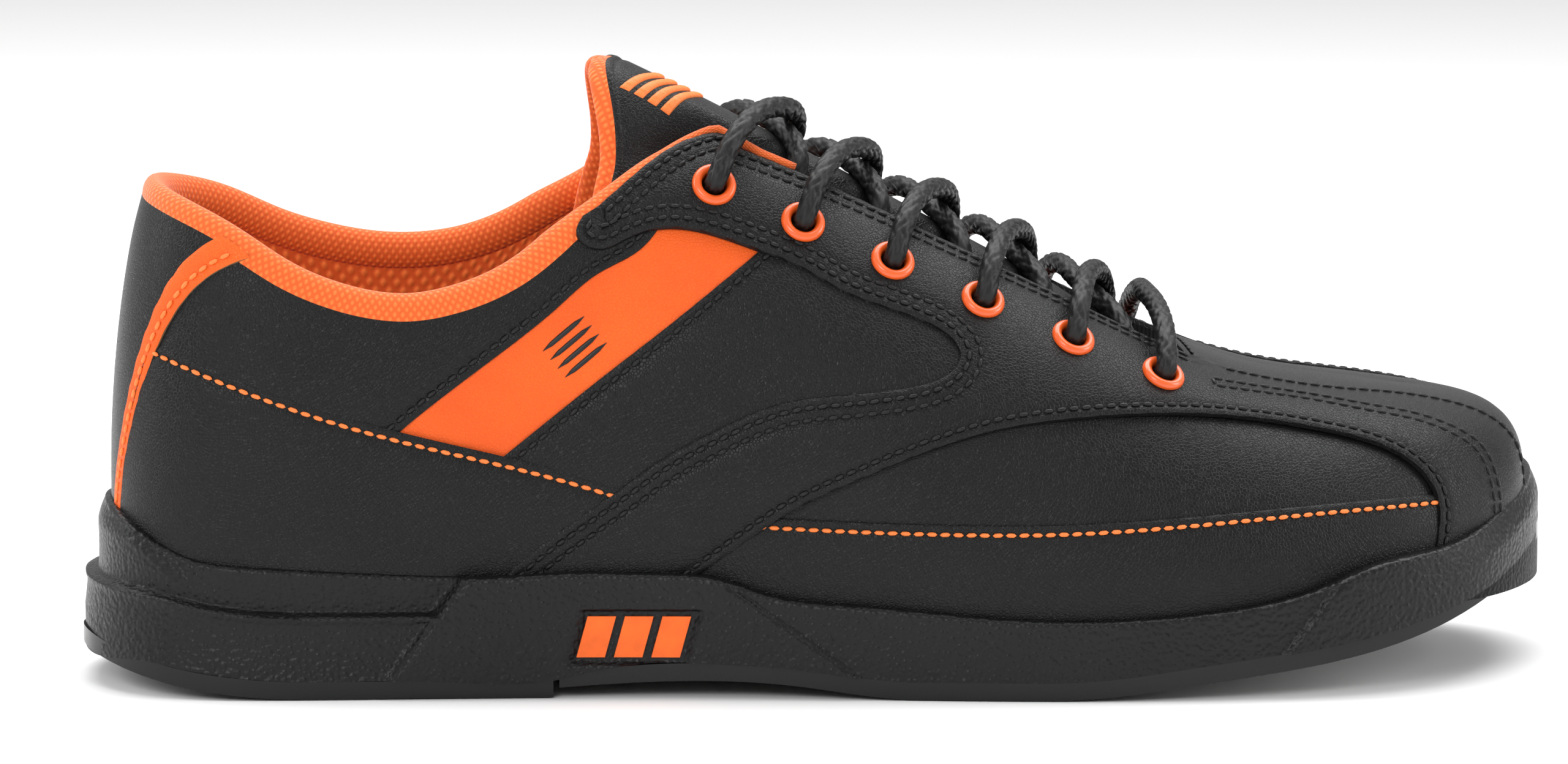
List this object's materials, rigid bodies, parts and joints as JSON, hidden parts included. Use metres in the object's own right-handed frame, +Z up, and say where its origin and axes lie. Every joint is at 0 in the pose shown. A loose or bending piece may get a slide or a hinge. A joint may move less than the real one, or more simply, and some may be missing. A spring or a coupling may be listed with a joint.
{
  "type": "bowling shoe",
  "caption": "Low lace-up bowling shoe for the right foot: leather upper over a rubber cup sole, slide pad under the ball, padded tongue, open ankle collar.",
  "frame": {"origin": "middle of the shoe's outline on the floor", "axes": "+X from the heel to the toe, +Y to the inner side of the foot, +Z up"},
  "size_m": [0.3042, 0.1078, 0.1274],
  "materials": {
    "black_leather": "fine grain, semi-matte",
    "orange_leather": "fine grain, semi-matte",
    "orange_knit": "knitted mesh",
    "black_textile": "woven",
    "foam": "open-cell foam",
    "stiffener": "resin-filled fibre sheet",
    "board": "pressed cellulose board",
    "midsole_rubber": "pebbled, matt",
    "outsole_rubber": "smooth, glossy edge",
    "orange_rubber": "smooth",
    "slide_microfibre": "short microfibre nap",
    "shank_steel": "plain",
    "orange_enamel": "orange enamel on rolled metal",
    "washer_metal": "plain",
    "lace_braid": "herringbone braid",
    "aglet_plastic": "clear-coated tape",
    "orange_thread": "satin stitch"
  },
  "bodies": {
    "root": {"aglet_lateral": "aglet_plastic", "aglet_medial": "aglet_plastic", "ankle_lining": "orange_knit", "back_panel": "black_leather", "collar_foam": "foam", "eyelet_washers_lateral": "washer_metal", "eyelet_washers_medial": "washer_metal", "eyelets_lateral": "orange_enamel", "eyelets_medial": "orange_enamel", "eyestay_overlay_lateral": "black_leather", "eyestay_overlay_medial": "black_leather", "forefoot_panel_lateral": "black_leather", "forefoot_panel_medial": "black_leather", "front_quarter_lateral": "black_leather", "front_quarter_medial": "black_leather", "heel_counter": "stiffener", "heel_cushion": "foam", "heel_pad": "outsole_rubber", "heel_trim_lateral": "orange_leather", "heel_trim_medial": "orange_leather", "insole_board": "board", "interlining": "black_textile", "lace": "lace_braid", "lower_quarter_lateral": "black_leather", "lower_quarter_medial": "black_leather", "midsole": "midsole_rubber", "mudguard_lateral": "black_leather", "mudguard_medial": "black_leather", "outsole_forepart": "outsole_rubber", "rear_quarter_lateral": "black_leather", "rear_quarter_medial": "black_leather", "shank": "shank_steel", "slash_lateral": "orange_leather", "slash_medial": "orange_leather", "slide_pad": "slide_microfibre", "sock_liner": "black_textile", "sole_badge": "orange_rubber", "toe_puff": "stiffener", "vamp_centre_strip": "black_leather", "vamp_lining": "black_textile"},
    "tongue": {"tongue_shell": "black_leather", "tongue_foam": "foam", "tongue_lining": "orange_knit", "tongue_emblem": "orange_thread"}
  },
  "joints": [
    {"name": "tongue_tilt", "type": "hinge", "parent": "root", "child": "tongue", "pos_m": [0.0805, 0.0015, 0.0565], "axis": [0, 1, 0], "range_deg": [-10, 0]}
  ]
}
